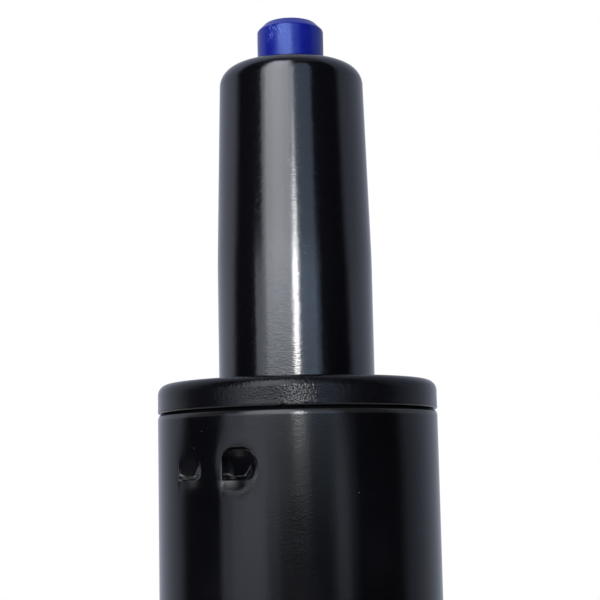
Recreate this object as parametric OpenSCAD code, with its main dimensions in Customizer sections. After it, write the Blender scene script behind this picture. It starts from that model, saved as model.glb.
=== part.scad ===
// Chair gas lift: a lockable gas spring that slides and swivels in a tapered column.
// The origin is the centre of the column's foot, +Z runs up the axis, and sizes are in millimetres.
// The lift is drawn fully lowered, with the pressure tube down on its buffer.

/* [Column tube] */
// Outside diameter of the column tube
column_od = 50; // [48:0.5:54]
// Wall of the column tube
column_wall = 2; // [1.6:0.1:2.4]
// Length of the column tube
column_len = 230; // [220:1:260]
// Length of the taper that wedges into the chair base
base_taper_len = 60; // [50:1:75]
// Half-angle of the base taper and the seat taper, in degrees
taper_angle = 1.438; // [1.2:0.001:1.7]
// Rounding of the tube's upper edge
column_edge_r = 0.6; // [0.3:0.1:0.8]
// Chamfer round the foot
foot_chamfer = 0.8; // [0.4:0.1:1.2]

/* [Crimps] */
// Width of one crimp
crimp_w = 5.8; // [4.5:0.1:6.5]
// Height of one crimp
crimp_h = 5.2; // [4:0.1:5.5]
// Depth of a crimp at its lower edge
crimp_depth = 1.6; // [1.2:0.1:1.8]
// Drop from the tube's upper edge to a crimp's lower edge
crimp_drop = 11.5; // [10:0.1:13]
// Angle between the two crimps of a pair
crimp_pitch = 23.5; // [20:0.5:30]
// Direction of the first pair, from +X
crimp_direction = 234.5; // [0:0.5:360]
// Pairs of crimps round the tube
crimp_pairs = 2; // [1:1:4]

/* [Base cup] */
// Depth of the recess under the cup's floor
recess_depth = 9; // [8:0.5:14]
// Thickness of the cup's floor
cup_floor_t = 3.5; // [2.5:0.1:5]
// Thickness of the cup's skirt
cup_skirt_t = 2; // [1.5:0.1:3]
// Inside radius of the bend between floor and skirt
cup_bend_r = 2; // [1:0.1:3]
// Height of the skirt's edge above the foot
cup_rim = 1; // [0.5:0.1:2]

/* [Guide sleeve] */
// Height of the flange that caps the column
flange_h = 5.1; // [4:0.1:8]
// Rounding of the flange's upper edge
flange_edge_r = 1.9; // [0.8:0.1:2.5]
// Shadow gap between the flange's rim and the tube
flange_gap = 0.5; // [0.3:0.1:1]
// Length of the sleeve inside the column
sleeve_len = 90; // [70:1:92]
// Wall of the sleeve's barrel
sleeve_wall = 2.6; // [2:0.1:4]
// Length of each bearing land in the sleeve's bore
sleeve_land = 22; // [12:1:30]
// Depth of the relief between the two lands
sleeve_relief = 0.5; // [0.3:0.1:0.8]
// Height of the ring at the sleeve's lower end
sleeve_ring = 10; // [6:1:20]
// Ribs between barrel and column
sleeve_ribs = 8; // [6:1:12]
// Thickness of a rib
rib_t = 2; // [1.5:0.1:3]

/* [Pressure tube] */
// Outside diameter of the pressure tube
tube_od = 28; // [26:0.1:30]
// Wall of the pressure tube
tube_wall = 2; // [1.6:0.1:2.2]
// Straight stretch above the column's upper edge
seat_straight = 27.7; // [18:0.1:40]
// Length of the taper that wedges into the seat plate
seat_taper_len = 32.5; // [28:0.1:45]
// Outside radius of the rolled shoulder
shoulder_r = 3.5; // [2.8:0.1:4.5]
// Slope of the rolled crown, in degrees
crown_angle = 6; // [4:0.5:14]
// Overlap of the rolled lip under the rod guide
lip_overlap = 3; // [2:0.1:5]

/* [Release] */
// Diameter of the release button
button_d = 12.2; // [10:0.1:13]
// How far the button stands out of the tube
button_proud = 8.1; // [6:0.1:10]
// Length of the button
button_len = 20; // [17:0.5:24]
// Chamfer round the button's top
button_chamfer = 1.5; // [1:0.05:2.4]
// Travel of the button
release_travel = 4; // [3:0.1:4.6]
// Diameter of the valve pin
pin_d = 5; // [4.4:0.1:5.4]
// Diameter of the pin's sealing land
pin_land_d = 5.8; // [5.6:0.1:6.2]
// Diameter of the pin's neck
pin_neck_d = 3.4; // [2.8:0.1:4]
// Diameter of the pin's head
pin_head_d = 9; // [8:0.1:10]
// Thickness of the pin's head
pin_head_t = 3; // [2:0.1:4]

/* [Valve body] */
// Length of the upper pin guide
pin_guide_len = 9; // [8:0.5:12]
// Length of the valve chamber
chamber_len = 10; // [9:0.5:13]
// Diameter of the valve chamber
chamber_d = 6.8; // [6.6:0.1:7.6]
// Length of the valve's lower seat
valve_seat_len = 7; // [6.5:0.1:8.5]
// Height of the collar that stands on the inner cylinder
valve_collar = 3; // [2:0.1:4]
// Diameter of the neck with the gas ports
valve_neck_d = 18; // [16:0.1:18.4]
// Diameter of a gas port
port_d = 2; // [1.5:0.1:2.6]
// Gas ports round the valve body
ports = 4; // [2:1:6]

/* [Gas spring] */
// Travel of the gas spring
stroke = 100; // [80:1:120]
// Outside diameter of the inner cylinder
cylinder_od = 21; // [20.6:0.1:21.6]
// Wall of the inner cylinder
cylinder_wall = 0.8; // [0.6:0.1:1]
// Diameter of the piston rod
rod_d = 10; // [9:0.1:10.8]
// Diameter of the rod's lower end
rod_end_d = 8; // [7:0.1:8.4]
// Diameter of the rod's upper end, in the piston
rod_spigot_d = 7; // [6:0.1:8]
// Length of the piston
piston_len = 14; // [13:0.5:18]
// Thickness of the washer under the riveted rod head
rivet_washer_t = 1.2; // [0.8:0.1:2]
// Height of the riveted rod head
rivet_h = 2; // [1.5:0.1:3]
// Height of the piston's guide band
guide_band_h = 3; // [2.4:0.1:3.4]
// Cross-section of an O-ring
o_ring_d = 1.7; // [1.5:0.1:1.8]
// Length of the rod guide
rod_guide_len = 12; // [8:0.5:16]
// Height of the rod seal
rod_seal_h = 6; // [5:0.1:8]
// Thickness of the disc over the rod seal
seal_disc_t = 1.5; // [1:0.1:2]
// Thickness of the centring ring's flange
ring_flange_t = 3; // [2.5:0.1:4]
// Height of the centring ring's spigot
ring_spigot_h = 5; // [4:0.1:8]
// Gas slots across the centring ring
ring_slots = 4; // [3:1:6]
// Width of a gas slot
ring_slot_w = 3; // [2:0.1:4]

/* [Thrust bearing and buffer] */
// Diameter of a bearing ball
ball_d = 4; // [3.5:0.1:4.5]
// Balls in the bearing
ball_count = 10; // [8:1:11]
// Radius of the ball circle
ball_circle_r = 9.5; // [9:0.1:10.2]
// Depth of the groove in a race
groove_depth = 0.6; // [0.4:0.05:0.8]
// Thickness of a race
race_t = 2; // [1.6:0.1:3]
// Outside diameter of the races
race_od = 26; // [25.5:0.1:28]
// Thickness of the ball cage
cage_t = 2; // [1.4:0.1:2.2]
// Width of the cage's rim outside and inside the balls
cage_rim = 0.9; // [0.7:0.1:1.2]
// Thickness of the support washer
support_t = 2.5; // [2:0.1:4]
// Diameter of the support washer
support_od = 24; // [22:0.5:28]
// Height of the rubber buffer
buffer_h = 14; // [10:0.5:20]
// Outside diameter of the rubber buffer
buffer_od = 23; // [20:0.5:27]
// Depth of the buffer's waist
buffer_waist = 2; // [1:0.1:3]
// Thickness of the clip's washer
clip_washer_t = 1.5; // [1:0.1:2]
// Diameter of the clip's washer
clip_washer_od = 20; // [18:0.5:24]
// Thickness of the retaining clip
clip_t = 1.2; // [0.8:0.1:1.6]
// Outside diameter of the retaining clip
clip_od = 16; // [14:0.1:18]
// Depth of the clip's groove in the rod
clip_groove = 0.9; // [0.6:0.1:1.2]

/* [Clearances] */
// Radial clearance of a sliding or turning fit
run_clear = 0.05; // [0.03:0.01:0.1]
// Clearance between seated pieces of one body
seat_clear = 0.03; // [0.02:0.01:0.1]
// Clearance between the button and its bore
button_clear = 0.15; // [0.1:0.01:0.3]
// Gap at a stop, and between pieces that must not touch
stop_gap = 0.3; // [0.2:0.05:0.5]

/* [Hidden] */
$fn = 96;

// Radii
column_r = column_od / 2;
column_bore_r = column_r - column_wall;
foot_r = column_r - base_taper_len * tan(taper_angle);
tube_r = tube_od / 2;
tube_bore_r = tube_r - tube_wall;
shoulder_start_r = tube_r - seat_taper_len * tan(taper_angle);
crown_r = shoulder_start_r - shoulder_r * (1 - sin(crown_angle));
inner_shoulder_r = shoulder_r - tube_wall;
inner_crown_r = tube_bore_r - inner_shoulder_r * (1 - sin(crown_angle));
button_r = button_d / 2;
mouth_r = button_r + button_clear;
cylinder_r = cylinder_od / 2;
cylinder_bore_r = cylinder_r - cylinder_wall;
spigot_r = cylinder_bore_r - run_clear;
rod_r = rod_d / 2;
rod_end_r = rod_end_d / 2;
rod_bore_r = rod_r + run_clear;
sleeve_r = column_bore_r - run_clear;
sleeve_bore_r = tube_r + run_clear;
barrel_r = sleeve_bore_r + sleeve_wall;
crimp_floor_r = column_bore_r - crimp_depth;

// Heights of the stack on the base cup, from the foot up
race_gap = ball_d - 2 * groove_depth;
lower_race_z = recess_depth + cup_floor_t;
ball_z = lower_race_z + race_t + race_gap / 2;
upper_race_z = lower_race_z + race_t + race_gap;
support_z = upper_race_z + race_t;
rod_shoulder_z = support_z + support_t;
buffer_top_z = rod_shoulder_z + buffer_h;
clip_top_z = recess_depth - stop_gap / 2 - clip_washer_t;

// Heights inside the pressure tube, from its foot up
tube_foot_z = buffer_top_z + stop_gap;
rod_guide_z = tube_foot_z + tube_wall;
rod_seal_z = rod_guide_z + rod_guide_len;
seal_disc_z = rod_seal_z + rod_seal_h;
ring_z = seal_disc_z + seal_disc_t;
cylinder_foot_z = ring_z + ring_flange_t;
piston_stop_z = cylinder_foot_z + ring_spigot_h;
piston_z = piston_stop_z + stroke + stop_gap;
piston_top_z = piston_z + piston_len;

// Heights at the top of the column and the tube
flange_z = column_len + flange_gap;
taper_z = column_len + seat_straight;
shoulder_z = taper_z + seat_taper_len;
crown_z = shoulder_z + shoulder_r * cos(crown_angle);
mouth_z = crown_z + (crown_r - mouth_r) * tan(crown_angle);
inner_crown_z = shoulder_z + inner_shoulder_r * cos(crown_angle);
inner_mouth_z = inner_crown_z + (inner_crown_r - mouth_r) * tan(crown_angle);

// Heights of the release valve, from the button down
button_top_z = mouth_z + button_proud;
button_foot_z = button_top_z - button_len;
pocket_z = button_foot_z - release_travel - stop_gap;
chamber_top_z = pocket_z - pin_guide_len;
seat_top_z = chamber_top_z - chamber_len;
valve_foot_z = seat_top_z - valve_seat_len;
collar_z = seat_top_z;
neck_z = collar_z + valve_collar;
flange_foot_z = chamber_top_z - o_ring_d / 2;
port_z = (neck_z + flange_foot_z) / 2;
upper_seal_zs = [for (i = [0:1]) flange_foot_z + (2 * i + 1) * (pocket_z - flange_foot_z) / 4];
spigot_seal_z = valve_foot_z + valve_seat_len / 2;
pin_seal_zs = [chamber_top_z + pin_guide_len / 2, valve_foot_z + valve_seat_len / 2];
pin_seal_rs = [pin_d / 2, pin_land_d / 2];
groove_w = o_ring_d + 2 * seat_clear;

// Points along a round stretch of an outline
function arc(centre, r, from, to, steps = 8) =
    [for (i = [0:steps]) let (a = from + (to - from) * i / steps) centre + r * [cos(a), sin(a)]];

// A rectangular groove in an outline that rises along the wall at radius edge
function groove(z, w, edge, floor) =
    [[edge, z - w / 2], [floor, z - w / 2], [floor, z + w / 2], [edge, z + w / 2]];

function reversed(points) = [for (i = [len(points) - 1:-1:0]) points[i]];

// Inside radius of the column at a height in its base taper
function taper_bore_r(z) = column_bore_r - max(0, base_taper_len - z) * tan(taper_angle);

// A solid of revolution from its half section
module turned(points) rotate_extrude() polygon(points);

module washer(z, t, r_in, r_out, edge = 0.2)
    turned([[r_in, z], [r_out - edge, z], [r_out, z + edge],
            [r_out, z + t - edge], [r_out - edge, z + t], [r_in, z + t]]);

module o_ring(z, mean_r, d = o_ring_d)
    translate([0, 0, z]) rotate_extrude() translate([mean_r, 0]) circle(d = d);

module at_crimps()
    for (pair = [0:crimp_pairs - 1], side = [-0.5, 0.5])
        rotate(crimp_direction + pair * 360 / crimp_pairs + side * crimp_pitch)
            translate([0, 0, column_len - crimp_drop]) children();

// One crimp in the column's wall: a floor that slopes in from the top to a square lower edge,
// inside an outline with a round top. The face is the radius of the surface that it is pushed into.
module crimp_form(face, grow) {
    w = crimp_w + 2 * grow;
    top = crimp_h + grow;
    intersection() {
        rotate([90, 0, 0]) linear_extrude(w, center = true)
            polygon([[face + crimp_depth, -grow], [face - crimp_depth, -grow],
                     [face - crimp_depth, 0.2 * crimp_h], [face + 0.2 * crimp_depth, top],
                     [face + crimp_depth, top]]);
        rotate([90, 0, 90]) linear_extrude(face + crimp_depth) {
            translate([-w / 2, -grow]) square([w, top - w / 2 + grow]);
            translate([0, top - w / 2]) circle(d = w);
        }
    }
}

// Column

module outer_tube() color("#1a1b1d") difference() {
    union() {
        turned(concat(
            [[foot_r - column_wall, 0], [foot_r - foot_chamfer, 0], [foot_r, foot_chamfer],
             [column_r, base_taper_len]],
            arc([column_r - column_edge_r, column_len - column_edge_r], column_edge_r, 0, 90, 4),
            [[column_bore_r, column_len], [column_bore_r, base_taper_len]]));
        at_crimps() crimp_form(column_bore_r, 0.4);
    }
    at_crimps() crimp_form(column_r, 0);
}

// A drawn cup that wedges in the taper, with its floor over the recess for the clip
module base_cup() color("#8d9096") {
    floor_top = recess_depth + cup_floor_t;
    bend_out = cup_bend_r + cup_skirt_t;
    top_r = taper_bore_r(floor_top - bend_out) - seat_clear;
    rim_r = taper_bore_r(cup_rim) - seat_clear;
    turned(concat(
        [[rod_end_r + stop_gap, recess_depth]],
        reversed(arc([top_r - bend_out, recess_depth - cup_bend_r], cup_bend_r, 0, 90, 5)),
        [[rim_r - cup_skirt_t, cup_rim], [rim_r, cup_rim]],
        arc([top_r - bend_out, floor_top - bend_out], bend_out, 0, 90, 6),
        [[rod_end_r + stop_gap, floor_top]]));
}

// The moulded sleeve that the pressure tube slides in, with the flange that caps the column
module guide_sleeve() color("#202124") {
    foot = column_len - sleeve_len;
    groove_top = column_len - crimp_drop + crimp_h + 1;
    groove_foot = column_len - crimp_drop - 1;
    groove_r = crimp_floor_r - stop_gap;
    seat_r = column_r - 1.4 * column_edge_r;
    rim_r = column_r - 0.3;
    lead = 0.8;
    turned(concat(
        [[sleeve_bore_r + lead, foot], [sleeve_r - lead, foot], [sleeve_r, foot + lead],
         [sleeve_r, foot + sleeve_ring], [barrel_r, foot + sleeve_ring],
         [barrel_r, groove_foot - lead], [sleeve_r, groove_foot - lead], [sleeve_r, groove_foot],
         [groove_r, groove_foot], [groove_r, groove_top], [sleeve_r, groove_top],
         [sleeve_r, column_len], [seat_r, column_len], [seat_r, flange_z],
         [rim_r, flange_z], [column_r, flange_z + 0.3]],
        arc([column_r - flange_edge_r, flange_z + flange_h - flange_edge_r], flange_edge_r, 0, 90),
        [[sleeve_bore_r + lead, flange_z + flange_h], [sleeve_bore_r, flange_z + flange_h - lead],
         [sleeve_bore_r, flange_z + flange_h - sleeve_land],
         [sleeve_bore_r + sleeve_relief, flange_z + flange_h - sleeve_land - sleeve_relief],
         [sleeve_bore_r + sleeve_relief, foot + sleeve_land + sleeve_relief],
         [sleeve_bore_r, foot + sleeve_land], [sleeve_bore_r, foot + lead]]));
    for (i = [0:sleeve_ribs - 1])
        rotate(i * 360 / sleeve_ribs)
            translate([barrel_r - sleeve_wall / 2, -rib_t / 2, foot + sleeve_ring / 2])
                cube([sleeve_r - barrel_r + sleeve_wall / 2 - rib_t / 4, rib_t,
                      groove_foot - lead - foot - sleeve_ring / 2]);
}

// Thrust bearing

module race(z, r_in) rotate_extrude() difference() {
    translate([r_in, z]) square([race_od / 2 - r_in, race_t]);
    translate([ball_circle_r, ball_z]) circle(d = ball_d + 2 * run_clear);
}

module bearing_lower_race() color("#c4c7cc") race(lower_race_z, rod_end_r + stop_gap);

module bearing_upper_race() color("#c4c7cc") race(upper_race_z, rod_end_r + run_clear);

module at_balls()
    for (i = [0:ball_count - 1])
        rotate(i * 360 / ball_count) translate([ball_circle_r, 0, ball_z]) children();

module ball_cage() color("#e8e4d8") difference() {
    pocket_r = ball_d / 2 + run_clear;
    rotate_extrude() translate([ball_circle_r, ball_z])
        square([2 * (pocket_r + cage_rim), cage_t], center = true);
    at_balls() cylinder(r = pocket_r, h = 2 * cage_t, center = true);
}

module bearing_balls() color("#d6d9dd") at_balls() sphere(d = ball_d);

// Piston rod and what it carries

module piston_rod() color("#c9ccd1") {
    tip_z = clip_top_z - clip_t - 2 * clip_groove;
    chamfer = 0.6;
    head_z = piston_top_z + rivet_washer_t;
    head_r = (rod_spigot_d / 2 + rod_r) / 2;
    turned(concat(
        [[0, tip_z], [rod_end_r - chamfer, tip_z], [rod_end_r, tip_z + chamfer]],
        groove(clip_top_z - clip_t / 2, clip_t + 2 * seat_clear, rod_end_r, rod_end_r - clip_groove),
        [[rod_end_r, rod_shoulder_z], [rod_r, rod_shoulder_z], [rod_r, piston_z],
         [rod_spigot_d / 2, piston_z], [rod_spigot_d / 2, head_z], [head_r, head_z]],
        arc([head_r - chamfer, head_z + rivet_h - chamfer], chamfer, 0, 90, 4),
        [[0, head_z + rivet_h]]));
}

piston_r = spigot_r - run_clear;
seal_groove_z = piston_z + piston_len * 0.3;
band_groove_z = piston_z + piston_len * 0.7;

module piston() color("#c2c5c9") {
    bore = rod_spigot_d / 2 + seat_clear;
    chamfer = 0.5;
    turned(concat(
        [[bore, piston_z], [piston_r - chamfer, piston_z], [piston_r, piston_z + chamfer]],
        groove(seal_groove_z, groove_w, piston_r, spigot_r - o_ring_d - seat_clear),
        groove(band_groove_z, guide_band_h + 2 * seat_clear, piston_r,
               spigot_r - o_ring_d / 2 - seat_clear),
        [[piston_r, piston_top_z - chamfer], [piston_r - chamfer, piston_top_z], [bore, piston_top_z]]));
}

module piston_seal() color("#26272a") o_ring(seal_groove_z, spigot_r - o_ring_d / 2);

module piston_guide_band() color("#efece2")
    washer(band_groove_z - guide_band_h / 2, guide_band_h, spigot_r - o_ring_d / 2, spigot_r, 0.15);

module rivet_washer() color("#c4c7cc")
    washer(piston_top_z, rivet_washer_t, rod_spigot_d / 2 + seat_clear, spigot_r - o_ring_d);

module rubber_buffer() color("#26272a") {
    edge = 1.5;
    r = buffer_od / 2;
    z = rod_shoulder_z;
    turned(concat(
        [[rod_bore_r, z]],
        arc([r - edge, z + edge], edge, -90, 0, 5),
        [[r, z + 0.35 * buffer_h], [r - buffer_waist, z + 0.5 * buffer_h], [r, z + 0.65 * buffer_h]],
        arc([r - edge, z + buffer_h - edge], edge, 0, 90, 5),
        [[rod_bore_r, z + buffer_h]]));
}

module support_washer() color("#c4c7cc")
    washer(support_z, support_t, rod_end_r + run_clear, support_od / 2, 0.4);

module clip_washer() color("#c4c7cc")
    washer(clip_top_z, clip_washer_t, rod_end_r + run_clear, clip_washer_od / 2, 0.3);

// An E-shaped clip that springs into the rod's groove from the side, on three lugs
module retaining_clip() color("#3a3b3e") {
    lug_r = rod_end_r - clip_groove + seat_clear;
    ring_in = rod_end_r + 1;
    lug_w = 3;
    translate([0, 0, clip_top_z - clip_t]) linear_extrude(clip_t) difference() {
        union() {
            difference() {
                circle(d = clip_od);
                circle(r = ring_in);
                translate([0, -clip_od]) square([2 * lug_r, 2 * clip_od], center = true);
            }
            for (side = [0, 90, 180])
                rotate(side) translate([0, -lug_w / 2]) square([ring_in + 0.5, lug_w]);
        }
        circle(r = lug_r);
    }
}

// Gas spring

module pressure_tube() color("#141517") {
    lip_r = tube_bore_r - lip_overlap;
    turned(concat(
        [[lip_r, tube_foot_z]],
        arc([tube_r - tube_wall, tube_foot_z + tube_wall], tube_wall, -90, 0, 6),
        [[tube_r, taper_z]],
        arc([shoulder_start_r - shoulder_r, shoulder_z], shoulder_r, 0, 90 - crown_angle, 10),
        [[mouth_r, mouth_z], [mouth_r, inner_mouth_z]],
        reversed(arc([tube_bore_r - inner_shoulder_r, shoulder_z], inner_shoulder_r,
                     0, 90 - crown_angle, 6)),
        [[tube_bore_r, rod_guide_z], [lip_r, rod_guide_z]]));
}

module inner_cylinder() color("#b9bcc2")
    turned([[cylinder_bore_r, cylinder_foot_z], [cylinder_r, cylinder_foot_z],
            [cylinder_r, collar_z], [cylinder_bore_r, collar_z]]);

module valve_body() color("#b59a55") difference() {
    bore_fit = tube_bore_r - seat_clear;
    top_z = inner_mouth_z - seat_clear;
    pin_r = pin_d / 2 + run_clear;
    land_r = pin_land_d / 2 + run_clear;
    turned(concat(
        [[land_r, valve_foot_z], [spigot_r, valve_foot_z]],
        groove(spigot_seal_z, groove_w, spigot_r, cylinder_bore_r - o_ring_d - seat_clear),
        [[spigot_r, collar_z], [cylinder_r, collar_z], [cylinder_r, neck_z],
         [valve_neck_d / 2, neck_z], [valve_neck_d / 2, flange_foot_z], [bore_fit, flange_foot_z]],
        [for (z = upper_seal_zs)
            each groove(z, groove_w, bore_fit, tube_bore_r - o_ring_d - seat_clear)],
        [[bore_fit, shoulder_z - seat_clear], [inner_crown_r - seat_clear, inner_crown_z - 2 * seat_clear],
         [mouth_r, top_z], [mouth_r, pocket_z], [pin_r, pocket_z]],
        reversed(groove(pin_seal_zs[0], groove_w, pin_r, pin_d / 2 + run_clear + o_ring_d)),
        [[pin_r, chamber_top_z], [chamber_d / 2, chamber_top_z], [chamber_d / 2, seat_top_z],
         [land_r, seat_top_z]],
        reversed(groove(pin_seal_zs[1], groove_w, land_r, pin_land_d / 2 + run_clear + o_ring_d))));
    for (i = [0:ports - 1])
        rotate([0, 90, i * 360 / ports]) translate([-port_z, 0, 0]) cylinder(d = port_d, h = valve_neck_d);
}

module valve_body_seals() color("#26272a") {
    for (z = upper_seal_zs)
        o_ring(z, tube_bore_r - seat_clear - o_ring_d / 2);
    o_ring(spigot_seal_z, cylinder_bore_r - seat_clear - o_ring_d / 2);
}

module pin_seals() color("#26272a")
    for (i = [0:1])
        o_ring(pin_seal_zs[i], pin_seal_rs[i] + run_clear + o_ring_d / 2);

// Holds the inner cylinder's foot, stops the piston, and lets gas out to the annulus through its slots
module centring_ring() color("#d8d4c6") difference() {
    bore = rod_r + stop_gap;
    slot_h = ring_flange_t / 2;
    turned([[bore, ring_z], [tube_bore_r - seat_clear, ring_z],
            [tube_bore_r - seat_clear, cylinder_foot_z], [spigot_r, cylinder_foot_z],
            [spigot_r, piston_stop_z - 0.6], [spigot_r - 0.6, piston_stop_z], [bore, piston_stop_z]]);
    for (i = [0:ring_slots - 1])
        rotate(i * 360 / ring_slots) translate([0, -ring_slot_w / 2, cylinder_foot_z - slot_h])
            cube([tube_r, ring_slot_w, slot_h]);
}

module seal_disc() color("#c4c7cc")
    washer(seal_disc_z, seal_disc_t, rod_r + stop_gap, tube_bore_r - seat_clear);

// A lip seal, open towards the gas
module rod_seal() color("#26272a") {
    outer = tube_bore_r - seat_clear;
    middle = (outer + rod_bore_r) / 2;
    turned([[rod_bore_r + 0.6, rod_seal_z], [outer, rod_seal_z], [outer, rod_seal_z + rod_seal_h],
            [middle + 1, rod_seal_z + rod_seal_h], [middle, rod_seal_z + 0.45 * rod_seal_h],
            [middle - 1, rod_seal_z + rod_seal_h], [rod_bore_r + 0.3, rod_seal_z + rod_seal_h],
            [rod_bore_r, rod_seal_z + 0.75 * rod_seal_h],
            [rod_bore_r + 0.6, rod_seal_z + 0.5 * rod_seal_h]]);
}

module rod_guide() color("#d8d4c6") {
    chamfer = 0.6;
    outer = tube_bore_r - seat_clear;
    top_z = rod_guide_z + rod_guide_len;
    turned([[rod_bore_r + chamfer, rod_guide_z], [outer - chamfer, rod_guide_z],
            [outer, rod_guide_z + chamfer],
            [outer, top_z], [rod_bore_r + chamfer, top_z], [rod_bore_r, top_z - chamfer],
            [rod_bore_r, rod_guide_z + chamfer]]);
}

// Release

pin_top_z = button_top_z - button_len / 2;

module release_button() color("#1c2a9c") {
    r = button_r;
    bore = pin_d / 2 + seat_clear;
    turned([[bore, button_foot_z], [r - 0.4, button_foot_z], [r, button_foot_z + 0.4],
            [r, button_top_z - button_chamfer], [r - button_chamfer, button_top_z], [0, button_top_z],
            [0, pin_top_z + seat_clear], [bore, pin_top_z + seat_clear]]);
}

module valve_pin() color("#c9ccd1") {
    head_z = valve_foot_z - stop_gap / 2;
    land_top = seat_top_z - stop_gap;
    neck_top = chamber_top_z - stop_gap;
    r = pin_d / 2;
    turned([[0, head_z - pin_head_t], [pin_head_d / 2 - 0.4, head_z - pin_head_t],
            [pin_head_d / 2, head_z - pin_head_t + 0.4], [pin_head_d / 2, head_z],
            [pin_land_d / 2, head_z], [pin_land_d / 2, land_top], [pin_neck_d / 2, land_top + 0.8],
            [pin_neck_d / 2, neck_top - 0.8], [r, neck_top],
            [r, pin_top_z - 0.4], [r - 0.4, pin_top_z], [0, pin_top_z]]);
}

outer_tube();
base_cup();
guide_sleeve();
bearing_lower_race();
ball_cage();
bearing_balls();
piston_rod();
piston();
piston_seal();
piston_guide_band();
rivet_washer();
rubber_buffer();
support_washer();
bearing_upper_race();
clip_washer();
retaining_clip();
pressure_tube();
inner_cylinder();
valve_body();
valve_body_seals();
pin_seals();
centring_ring();
seal_disc();
rod_seal();
rod_guide();
release_button();
valve_pin();
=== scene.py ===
import math

import bpy
import numpy as np
from mathutils import Matrix


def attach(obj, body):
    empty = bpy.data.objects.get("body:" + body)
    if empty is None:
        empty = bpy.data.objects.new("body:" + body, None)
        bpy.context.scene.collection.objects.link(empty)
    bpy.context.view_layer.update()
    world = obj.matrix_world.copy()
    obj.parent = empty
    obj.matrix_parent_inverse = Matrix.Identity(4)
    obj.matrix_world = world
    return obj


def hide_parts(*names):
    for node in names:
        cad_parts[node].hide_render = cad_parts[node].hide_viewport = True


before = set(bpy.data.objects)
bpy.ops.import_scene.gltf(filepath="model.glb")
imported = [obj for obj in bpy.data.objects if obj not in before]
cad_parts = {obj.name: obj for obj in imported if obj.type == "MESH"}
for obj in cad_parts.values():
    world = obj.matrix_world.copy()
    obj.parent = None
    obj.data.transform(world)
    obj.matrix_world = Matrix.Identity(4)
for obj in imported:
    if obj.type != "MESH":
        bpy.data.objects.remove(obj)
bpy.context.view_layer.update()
mm = 0.001


# sRGB hex to linear colour
def linearColour(hexText):
    srgb = [int(hexText[i:i + 2], 16) / 255 for i in (1, 3, 5)]
    return tuple(c / 12.92 if c <= 0.04045 else ((c + 0.055) / 1.055) ** 2.4 for c in srgb) + (1.0,)


# smooth step: 0 below a, 1 above b, three t squared less two t cubed between
def ease(x, a, b):
    t = np.clip((x - a) / (b - a), 0, 1)
    return t * t * (3 - 2 * t)


# straight stretch of a profile: points spread evenly from a to b
def straight(a, b, n=2):
    return np.linspace(a, b, n)


# round stretch of a profile: points on a circle between two angles in degrees
def bend(centre, radius, start, end, n=8):
    a = np.radians(np.linspace(start, end, n))
    return np.stack([centre[0] + radius * np.cos(a), centre[1] + radius * np.sin(a)], axis=1)


# joins the stretches and drops points that fall on each other
def profile(*stretches):
    p = np.concatenate([np.atleast_2d(np.asarray(s, float)) for s in stretches])
    keep = np.r_[True, np.linalg.norm(np.diff(p, axis=0), axis=1) > 1e-6]
    return p[keep]


# angles in degrees round the axis, spaced evenly and again more closely at chosen places
def spreadAngles(count, places=(), reach=0, fine=1):
    steps = [np.arange(count) * 360 / count]
    for place in places:
        steps.append(place + np.arange(-reach, reach + fine / 2, fine))
    a = np.unique(np.round(np.mod(np.concatenate(steps), 360), 3))
    return a[np.r_[True, np.diff(a) > 0.4 * min(fine, 360 / count)]]


# signed difference of two angles in degrees, from -180 to 180
def turnFrom(a, b):
    return np.mod(a - b + 180, 360) - 180


# grid of points (rows along the profile, columns round the axis) to a closed mesh;
# a row whose points all meet on the axis becomes one pole vertex
def gridPiece(name, x, y, z, loop, sharp=40, marks=None):
    rows, cols = x.shape
    pts = np.stack([x, y, z], axis=2) * mm
    index = np.arange(rows * cols).reshape(rows, cols)
    atPole = np.hypot(x, y).max(axis=1) < 1e-6
    index[atPole] = index[atPole][:, :1]
    below = index if loop else index[:-1]
    above = np.roll(index, -1, axis=0) if loop else index[1:]
    quads = np.stack([below, np.roll(below, -1, 1), np.roll(above, -1, 1), above], axis=2).reshape(-1, 4)
    used, flat = np.unique(quads, return_inverse=True)
    faces = flat.reshape(-1, 4)
    low = faces[:, 0] == faces[:, 1]
    high = faces[:, 2] == faces[:, 3]
    whole = faces[~(low | high)].tolist()
    lowTips = faces[low][:, [0, 2, 3]].tolist()
    highTips = faces[high][:, :3].tolist()
    mesh = bpy.data.meshes.new(name)
    mesh.from_pydata(pts.reshape(-1, 3)[used].tolist(), [], whole + lowTips + highTips)
    mesh.polygons.foreach_set("use_smooth", np.ones(len(mesh.polygons), bool))
    mesh.set_sharp_from_angle(angle=math.radians(sharp))
    # the wear layer carries real wear and also painted highlights
    if marks is not None:
        layer = mesh.attributes.new("wear", "FLOAT", "POINT")
        layer.data.foreach_set("value", marks.reshape(-1)[used].astype(np.float32))
    mesh.update()
    piece = bpy.data.objects.new(name, mesh)
    bpy.context.scene.collection.objects.link(piece)
    print("piece", name, len(mesh.vertices), "points", len(mesh.polygons), "faces")
    return piece


# a profile (radius, height) turned round the axis: x = r cos a, y = r sin a
def turnedPiece(name, points, columns=192, loop=True, sharp=40):
    a = np.linspace(0, 2 * np.pi, columns, endpoint=False)
    r, z = points[:, :1], points[:, 1:]
    return gridPiece(name, r * np.cos(a), r * np.sin(a), z + 0 * a, loop, sharp)


# puts a piece in a node's place: its finish, the body it rides on and the node it stands for
def stand(piece, body, node, material):
    piece.data.materials.append(material)
    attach(piece, body)
    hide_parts(node)


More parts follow.
